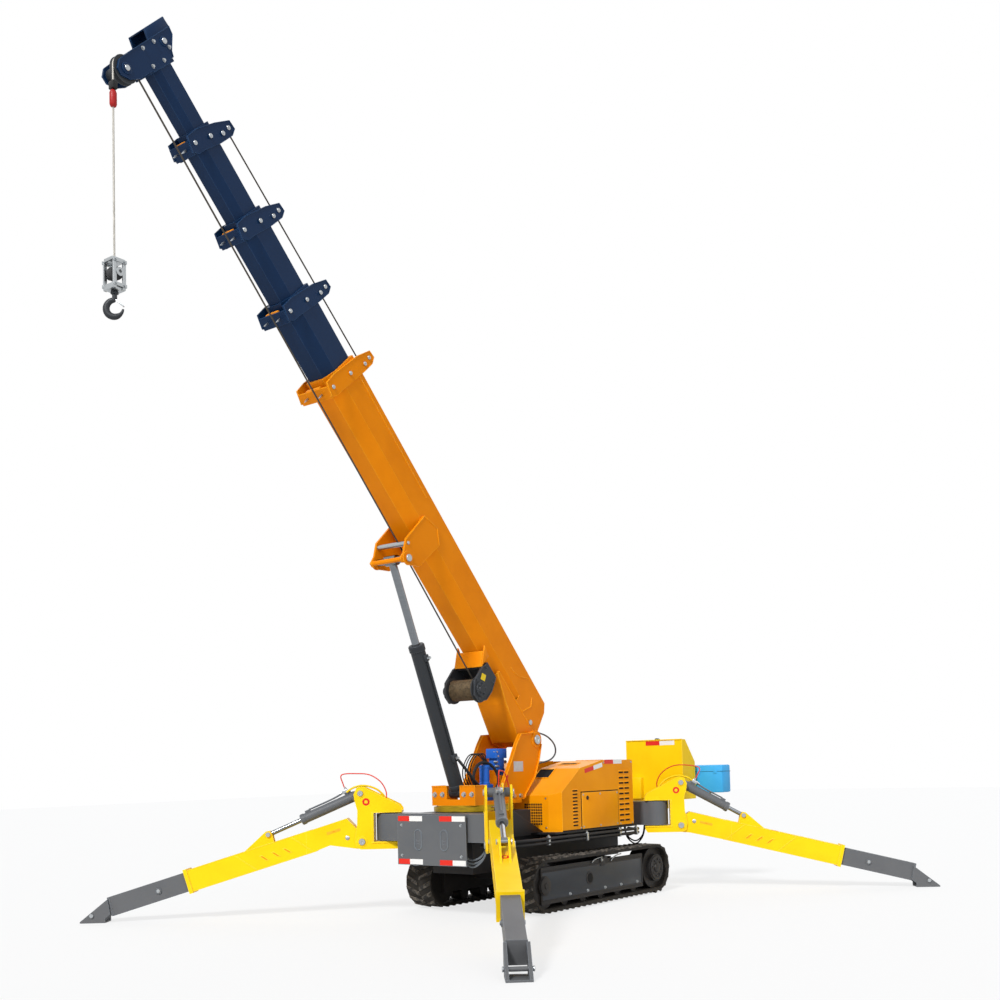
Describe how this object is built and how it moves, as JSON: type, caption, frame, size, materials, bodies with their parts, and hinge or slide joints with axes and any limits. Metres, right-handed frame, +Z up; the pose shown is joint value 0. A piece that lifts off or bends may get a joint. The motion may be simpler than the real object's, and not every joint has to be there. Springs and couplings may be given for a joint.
{
  "type": "tracked spider crane",
  "caption": "Compact crawler crane on folding outrigger legs, with slewing column, lift cylinder, telescoping boom, winch and hook.",
  "frame": {"origin": "on the floor under the middle of the stance, 66 mm ahead of the slewing axis", "axes": "+X towards the bumper end over which the boom stands, +Y to the left, +Z up"},
  "size_m": [7.7687, 6.1864, 6.6811],
  "materials": {
    "amber_paint": "gloss paint",
    "yellow_paint": "gloss paint",
    "grey_paint": "satin paint",
    "dark_paint": "satin paint",
    "navy_paint": "satin paint",
    "rubber": "matte rubber",
    "rod_chrome": "polished",
    "ring_brass": "machined",
    "cast": "rough",
    "rope_steel": "twisted wire",
    "case_blue": "moulded",
    "valve_blue": "gloss paint",
    "block_steel": "worn"
  },
  "bodies": {
    "chassis": {"chassis_frame": "dark_paint", "front_beam": "grey_paint", "rear_beam": "grey_paint", "bumper": "grey_paint", "track_frame_left": "dark_paint", "track_frame_right": "dark_paint", "track_left": "rubber", "track_right": "rubber", "engine_cover": "amber_paint", "engine_block": "cast", "console": "yellow_paint", "tool_case": "case_blue", "slew_ring": "ring_brass"},
    "slewing_table": {"turntable": "amber_paint", "column_plates": "amber_paint", "valve_block": "valve_blue"},
    "lift_tube": {"lift_tube": "grey_paint"},
    "lift_rod": {"lift_rod": "rod_chrome"},
    "boom": {"boom_base": "amber_paint", "winch_frame": "dark_paint"},
    "winch_drum": {"winch_drum": "cast"},
    "boom_2": {"boom_section_2": "navy_paint"},
    "boom_3": {"boom_section_3": "navy_paint"},
    "boom_4": {"boom_section_4": "navy_paint"},
    "boom_5": {"boom_section_5": "navy_paint"},
    "head_sheave": {"head_sheave": "dark_paint"},
    "hoist_rope": {"hoist_rope": "rope_steel"},
    "hook_block": {"hook_block": "block_steel"},
    "hook": {"hook": "cast"},
    "bracket_front_left": {"bracket_front_left": "yellow_paint"},
    "arm_front_left": {"arm_front_left": "yellow_paint"},
    "foot_front_left": {"foot_front_left": "grey_paint"},
    "ram_front_left": {"ram_front_left": "grey_paint"},
    "rod_front_left": {"rod_front_left": "rod_chrome"},
    "bracket_front_right": {"bracket_front_right": "yellow_paint"},
    "arm_front_right": {"arm_front_right": "yellow_paint"},
    "foot_front_right": {"foot_front_right": "grey_paint"},
    "ram_front_right": {"ram_front_right": "grey_paint"},
    "rod_front_right": {"rod_front_right": "rod_chrome"},
    "bracket_rear_left": {"bracket_rear_left": "yellow_paint"},
    "arm_rear_left": {"arm_rear_left": "yellow_paint"},
    "foot_rear_left": {"foot_rear_left": "grey_paint"},
    "ram_rear_left": {"ram_rear_left": "grey_paint"},
    "rod_rear_left": {"rod_rear_left": "rod_chrome"},
    "bracket_rear_right": {"bracket_rear_right": "yellow_paint"},
    "arm_rear_right": {"arm_rear_right": "yellow_paint"},
    "foot_rear_right": {"foot_rear_right": "grey_paint"},
    "ram_rear_right": {"ram_rear_right": "grey_paint"},
    "rod_rear_right": {"rod_rear_right": "rod_chrome"}
  },
  "joints": [
    {"name": "slew", "type": "hinge", "parent": "chassis", "child": "slewing_table", "pos_m": [-0.066, 0, 0], "axis": [0, 0, 1], "continuous": true},
    {"name": "luff", "type": "hinge", "parent": "slewing_table", "child": "boom", "pos_m": [-0.766, 0, 1.58], "axis": [0, -1, 0], "range_deg": [-41.5, 28.4]},
    {"name": "lift_tube_tilt", "type": "hinge", "parent": "slewing_table", "child": "lift_tube", "pos_m": [0.164, 0, 1.11], "axis": [0, -1, 0], "range_deg": [-43.22, 29.89]},
    {"name": "lift_rod_slide", "type": "slide", "parent": "lift_tube", "child": "lift_rod", "axis": [0.3819, 0, 0.9242], "range_m": [-0.7197, 0.4957]},
    {"name": "telescope_2", "type": "slide", "parent": "boom", "child": "boom_2", "axis": [0.6867, 0, 0.7269], "range_m": [-0.42, 2.3]},
    {"name": "telescope_3", "type": "slide", "parent": "boom_2", "child": "boom_3", "axis": [0.6867, 0, 0.7269], "range_m": [-0.43, 2.31]},
    {"name": "telescope_4", "type": "slide", "parent": "boom_3", "child": "boom_4", "axis": [0.6867, 0, 0.7269], "range_m": [-0.43, 2.31]},
    {"name": "telescope_5", "type": "slide", "parent": "boom_4", "child": "boom_5", "axis": [0.6867, 0, 0.7269], "range_m": [-0.43, 2.31]},
    {"name": "winch_turn", "type": "hinge", "parent": "boom", "child": "winch_drum", "pos_m": [0.00953, 0, 2.04419], "axis": [0, 1, 0], "continuous": true},
    {"name": "sheave_turn", "type": "hinge", "parent": "boom_5", "child": "head_sheave", "pos_m": [3.72254, 0, 6.19897], "axis": [0, 1, 0], "continuous": true},
    {"name": "rope_hang", "type": "hinge", "parent": "boom_5", "child": "hoist_rope", "pos_m": [3.72254, 0, 6.19897], "axis": [0, 1, 0], "range_deg": [-42.5, 29.4]},
    {"name": "hoist", "type": "slide", "parent": "hoist_rope", "child": "hook_block", "axis": [0, 0, -1], "range_m": [-1, 3], "deforming": ["hoist_rope"]},
    {"name": "hook_swivel", "type": "hinge", "parent": "hook_block", "child": "hook", "pos_m": [3.80754, 0.055, 4.53397], "axis": [0, 0, 1], "continuous": true},
    {"name": "swing_front_left", "type": "hinge", "parent": "chassis", "child": "bracket_front_left", "pos_m": [0.394, 0.62, 0.8], "axis": [0, 0, 1], "range_deg": [-34, 45]},
    {"name": "fold_front_left", "type": "hinge", "parent": "bracket_front_left", "child": "arm_front_left", "pos_m": [0.59316, 0.78243, 0.677], "axis": [0.632, -0.7749, 0], "range_deg": [-4, 36]},
    {"name": "extend_front_left", "type": "slide", "parent": "arm_front_left", "child": "foot_front_left", "axis": [0.743, 0.606, -0.284], "range_m": [-0.5, 0.3]},
    {"name": "ram_tilt_front_left", "type": "hinge", "parent": "bracket_front_left", "child": "ram_front_left", "pos_m": [0.60013, 0.78812, 1.118], "axis": [0.632, -0.7749, 0], "range_deg": [-4.7, 34.31]},
    {"name": "rod_slide_front_left", "type": "slide", "parent": "ram_front_left", "child": "rod_front_left", "axis": [0.715, 0.5831, -0.3856], "range_m": [-0.2807, 0.0401]},
    {"name": "swing_front_right", "type": "hinge", "parent": "chassis", "child": "bracket_front_right", "pos_m": [0.394, -0.62, 0.8], "axis": [0, 0, 1], "range_deg": [-45, 34]},
    {"name": "fold_front_right", "type": "hinge", "parent": "bracket_front_right", "child": "arm_front_right", "pos_m": [0.55045, -0.82389, 0.677], "axis": [-0.7934, -0.6088, 0], "range_deg": [-4, 36]},
    {"name": "extend_front_right", "type": "slide", "parent": "arm_front_right", "child": "foot_front_right", "axis": [0.5837, -0.7607, -0.284], "range_m": [-0.5, 0.3]},
    {"name": "ram_tilt_front_right", "type": "hinge", "parent": "bracket_front_right", "child": "ram_front_right", "pos_m": [0.55593, -0.83103, 1.118], "axis": [-0.7934, -0.6088, 0], "range_deg": [-4.7, 34.31]},
    {"name": "rod_slide_front_right", "type": "slide", "parent": "ram_front_right", "child": "rod_front_right", "axis": [0.5617, -0.732, -0.3856], "range_m": [-0.2807, 0.0401]},
    {"name": "swing_rear_left", "type": "hinge", "parent": "chassis", "child": "bracket_rear_left", "pos_m": [-2.356, 0.62, 0.8], "axis": [0, 0, 1], "range_deg": [-20, 15]},
    {"name": "fold_rear_left", "type": "hinge", "parent": "bracket_rear_left", "child": "arm_rear_left", "pos_m": [-2.48952, 0.8396, 0.677], "axis": [0.8545, 0.5195, 0], "range_deg": [-4, 16]},
    {"name": "extend_rear_left", "type": "slide", "parent": "arm_rear_left", "child": "foot_rear_left", "axis": [-0.5043, 0.8294, -0.2402], "range_m": [-0.5, 0.3]},
    {"name": "ram_tilt_rear_left", "type": "hinge", "parent": "bracket_rear_left", "child": "ram_rear_left", "pos_m": [-2.49419, 0.84729, 1.118], "axis": [0.8545, 0.5195, 0], "range_deg": [-3.98, 12.92]},
    {"name": "rod_slide_rear_left", "type": "slide", "parent": "ram_rear_left", "child": "rod_rear_left", "axis": [-0.4534, 0.7457, -0.4883], "range_m": [-0.1228, 0.0382]},
    {"name": "swing_rear_right", "type": "hinge", "parent": "chassis", "child": "bracket_rear_right", "pos_m": [-2.356, -0.62, 0.8], "axis": [0, 0, 1], "range_deg": [-24, 20]},
    {"name": "fold_rear_right", "type": "hinge", "parent": "bracket_rear_right", "child": "arm_rear_right", "pos_m": [-2.48952, -0.8396, 0.677], "axis": [-0.8545, 0.5195, 0], "range_deg": [-4, 16]},
    {"name": "extend_rear_right", "type": "slide", "parent": "arm_rear_right", "child": "foot_rear_right", "axis": [-0.5043, -0.8294, -0.2402], "range_m": [-0.5, 0.3]},
    {"name": "ram_tilt_rear_right", "type": "hinge", "parent": "bracket_rear_right", "child": "ram_rear_right", "pos_m": [-2.49419, -0.84729, 1.118], "axis": [-0.8545, 0.5195, 0], "range_deg": [-3.98, 12.92]},
    {"name": "rod_slide_rear_right", "type": "slide", "parent": "ram_rear_right", "child": "rod_rear_right", "axis": [-0.4534, -0.7457, -0.4883], "range_m": [-0.1228, 0.0382]}
  ],
  "couplings": [
    {"joint": "lift_tube_tilt", "follows": "luff", "ratio": 1.0173},
    {"joint": "lift_rod_slide", "follows": "luff", "m_per_rad": 0.9798},
    {"joint": "telescope_3", "follows": "telescope_2", "ratio": 1},
    {"joint": "telescope_4", "follows": "telescope_2", "ratio": 1},
    {"joint": "telescope_5", "follows": "telescope_2", "ratio": 1},
    {"joint": "rope_hang", "follows": "luff", "ratio": 1},
    {"joint": "ram_tilt_front_left", "follows": "fold_front_left", "ratio": 0.9254},
    {"joint": "rod_slide_front_left", "follows": "fold_front_left", "m_per_rad": -0.4309},
    {"joint": "ram_tilt_front_right", "follows": "fold_front_right", "ratio": 0.9254},
    {"joint": "rod_slide_front_right", "follows": "fold_front_right", "m_per_rad": -0.4309},
    {"joint": "ram_tilt_rear_left", "follows": "fold_rear_left", "ratio": 0.7452},
    {"joint": "rod_slide_rear_left", "follows": "fold_rear_left", "m_per_rad": -0.4041},
    {"joint": "ram_tilt_rear_right", "follows": "fold_rear_right", "ratio": 0.7452},
    {"joint": "rod_slide_rear_right", "follows": "fold_rear_right", "m_per_rad": -0.4041}
  ]
}
